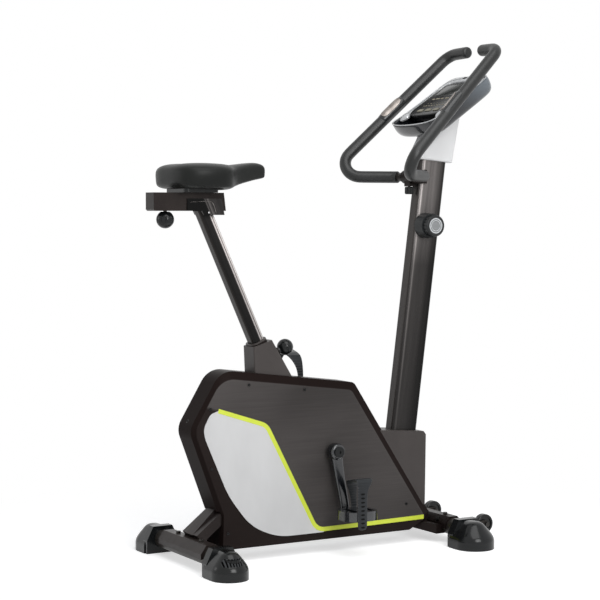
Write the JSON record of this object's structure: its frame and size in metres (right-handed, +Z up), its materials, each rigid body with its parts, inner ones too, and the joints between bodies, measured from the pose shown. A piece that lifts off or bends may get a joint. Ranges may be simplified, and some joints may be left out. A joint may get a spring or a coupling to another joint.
{
  "type": "exercise bike",
  "caption": "Upright exercise bike with covered flywheel, belt drive, crank and pedals, sliding saddle, tilting handlebar and console on a leaning post.",
  "frame": {"origin": "middle of the footprint box, on the floor", "axes": "+X forwards to the handlebar, +Y to the rider's left, +Z up"},
  "size_m": [1.0736, 0.564, 1.4445],
  "materials": {
    "frame_paint": "dark metallic, semi-gloss",
    "bare_steel": "zinc plated",
    "cap_plastic": "glossy black",
    "wheel_plastic": "glossy black",
    "crank_chrome": "black, satin",
    "pedal_plastic": "matt black",
    "strap_rubber": "matt black",
    "pulley_plastic": "matt",
    "belt_rubber": "matt",
    "flywheel_iron": "turned rim",
    "casing_plastic": "satin, dark warm grey",
    "panel_plastic": "light silver-grey",
    "stripe_plastic": "lime green",
    "cover_plastic": "satin black",
    "light_plastic": "pale grey",
    "bezel_plastic": "silver",
    "display_plastic": "black, glossy",
    "console_back": "glossy blue-grey",
    "key_rubber": "grey",
    "saddle_skin": "soft sheen, vinyl",
    "grip_foam": "matt foam",
    "cable_sheath": "satin"
  },
  "bodies": {
    "frame": {"base_rail": "frame_paint", "seat_tube": "frame_paint", "rear_leg": "frame_paint", "rear_stabilizer": "frame_paint", "front_stabilizer": "frame_paint", "frame_bolts": "bare_steel", "rear_end_cap_right": "cap_plastic", "rear_end_cap_left": "cap_plastic", "front_end_cap_right": "cap_plastic", "front_end_cap_left": "cap_plastic", "shaft_bearings": "bare_steel", "drive_belt": "belt_rubber", "tension_cable": "cable_sheath", "casing_right": "casing_plastic", "casing_left": "casing_plastic", "side_panels": "panel_plastic", "trim_stripes": "stripe_plastic", "casing_screws": "bare_steel", "power_jack": "display_plastic", "seat_tube_cover": "cover_plastic", "post_base_cover": "cover_plastic", "seat_post_bushing": "cover_plastic", "handlebar_post": "frame_paint", "tension_knob_base": "cover_plastic", "handlebar_clamp": "frame_paint", "post_top_cover": "light_plastic", "console_shell": "console_back", "console_bezel": "bezel_plastic", "console_display": "display_plastic"},
    "crank": {"crank_axle": "bare_steel", "crank_arm_right": "crank_chrome", "crank_arm_left": "crank_chrome", "crank_bolts": "bare_steel", "pedal_spindles": "bare_steel", "drive_pulley": "pulley_plastic"},
    "right_pedal": {"pedal_right": "pedal_plastic", "pedal_strap_right": "strap_rubber"},
    "left_pedal": {"pedal_left": "pedal_plastic", "pedal_strap_left": "strap_rubber"},
    "flywheel_set": {"flywheel": "flywheel_iron", "flywheel_axle": "bare_steel"},
    "brake_arm": {"magnet_arm": "bare_steel"},
    "tension_control": {"tension_dial": "cover_plastic"},
    "right_roller": {"transport_wheel_right": "wheel_plastic"},
    "left_roller": {"transport_wheel_left": "wheel_plastic"},
    "right_leveller": {"levelling_wheel_right": "cap_plastic"},
    "left_leveller": {"levelling_wheel_left": "cap_plastic"},
    "seat_mast": {"seat_post": "frame_paint"},
    "saddle_carriage": {"saddle_slider": "frame_paint", "saddle_pan": "cover_plastic", "saddle": "saddle_skin"},
    "saddle_lock": {"saddle_knob": "cap_plastic"},
    "height_lock": {"height_knob": "cap_plastic"},
    "handlebar_set": {"handlebar": "frame_paint", "foam_grips": "grip_foam", "pulse_plates": "bare_steel"},
    "handlebar_lock": {"clamp_knob": "cap_plastic"},
    "left_key": {"console_key_left": "key_rubber"},
    "middle_key": {"console_key_middle": "key_rubber"},
    "right_key": {"console_key_right": "key_rubber"}
  },
  "joints": [
    {"name": "crank_spin", "type": "hinge", "parent": "frame", "child": "crank", "pos_m": [-0.005, 0, 0.286], "axis": [0, 1, 0], "continuous": true},
    {"name": "right_pedal_spin", "type": "hinge", "parent": "crank", "child": "right_pedal", "pos_m": [0.02013, -0.15, 0.11787], "axis": [0, 1, 0], "continuous": true},
    {"name": "left_pedal_spin", "type": "hinge", "parent": "crank", "child": "left_pedal", "pos_m": [-0.03013, 0.15, 0.45413], "axis": [0, 1, 0], "continuous": true},
    {"name": "flywheel_spin", "type": "hinge", "parent": "frame", "child": "flywheel_set", "pos_m": [-0.25, 0, 0.226], "axis": [0, 1, 0], "continuous": true},
    {"name": "tension_turn", "type": "hinge", "parent": "frame", "child": "tension_control", "pos_m": [0.33071, -0.066, 0.91453], "axis": [0, -1, 0], "range_deg": [0, 300]},
    {"name": "brake_swing", "type": "hinge", "parent": "frame", "child": "brake_arm", "pos_m": [-0.119, -0.037, 0.226], "axis": [0, 1, 0], "range_deg": [0, 6]},
    {"name": "right_roller_spin", "type": "hinge", "parent": "frame", "child": "right_roller", "pos_m": [0.464, -0.131, 0.049], "axis": [0, 1, 0], "continuous": true},
    {"name": "left_roller_spin", "type": "hinge", "parent": "frame", "child": "left_roller", "pos_m": [0.464, 0.131, 0.049], "axis": [0, 1, 0], "continuous": true},
    {"name": "right_leveller_turn", "type": "hinge", "parent": "frame", "child": "right_leveller", "pos_m": [-0.422, -0.243, 0.03], "axis": [0, 0, 1], "range_deg": [0, 360]},
    {"name": "left_leveller_turn", "type": "hinge", "parent": "frame", "child": "left_leveller", "pos_m": [-0.422, 0.243, 0.03], "axis": [0, 0, 1], "range_deg": [0, 360]},
    {"name": "seat_height", "type": "slide", "parent": "frame", "child": "seat_mast", "axis": [-0.4131, 0, 0.9107], "range_m": [-0.15, 0.075]},
    {"name": "saddle_fore_aft", "type": "slide", "parent": "seat_mast", "child": "saddle_carriage", "axis": [1, 0, 0], "range_m": [0, 0.06]},
    {"name": "saddle_knob_turn", "type": "hinge", "parent": "saddle_carriage", "child": "saddle_lock", "pos_m": [-0.492, 0, 0.94], "axis": [0, 0, 1], "range_deg": [0, 360]},
    {"name": "height_pin_pull", "type": "slide", "parent": "frame", "child": "height_lock", "axis": [0.9107, 0, 0.4131], "range_m": [0, 0.01], "stiffness_N_per_m": 2000, "springref_m": -0.004},
    {"name": "handlebar_tilt", "type": "hinge", "parent": "frame", "child": "handlebar_set", "pos_m": [0.296, 0, 1.056], "axis": [0, 1, 0], "range_deg": [-12, 6]},
    {"name": "clamp_knob_turn", "type": "hinge", "parent": "frame", "child": "handlebar_lock", "pos_m": [0.289, 0, 1.015], "axis": [0, 0, 1], "range_deg": [0, 360]},
    {"name": "left_key_press", "type": "slide", "parent": "frame", "child": "left_key", "axis": [0.5736, 0, -0.8192], "range_m": [0, 0.0012], "stiffness_N_per_m": 400, "springref_m": -0.0003},
    {"name": "middle_key_press", "type": "slide", "parent": "frame", "child": "middle_key", "axis": [0.5736, 0, -0.8192], "range_m": [0, 0.0012], "stiffness_N_per_m": 400, "springref_m": -0.0003},
    {"name": "right_key_press", "type": "slide", "parent": "frame", "child": "right_key", "axis": [0.5736, 0, -0.8192], "range_m": [0, 0.0012], "stiffness_N_per_m": 400, "springref_m": -0.0003}
  ],
  "couplings": [
    {"joint": "flywheel_spin", "follows": "crank_spin", "ratio": 7.6471},
    {"joint": "brake_swing", "follows": "tension_turn", "ratio": 0.02}
  ]
}
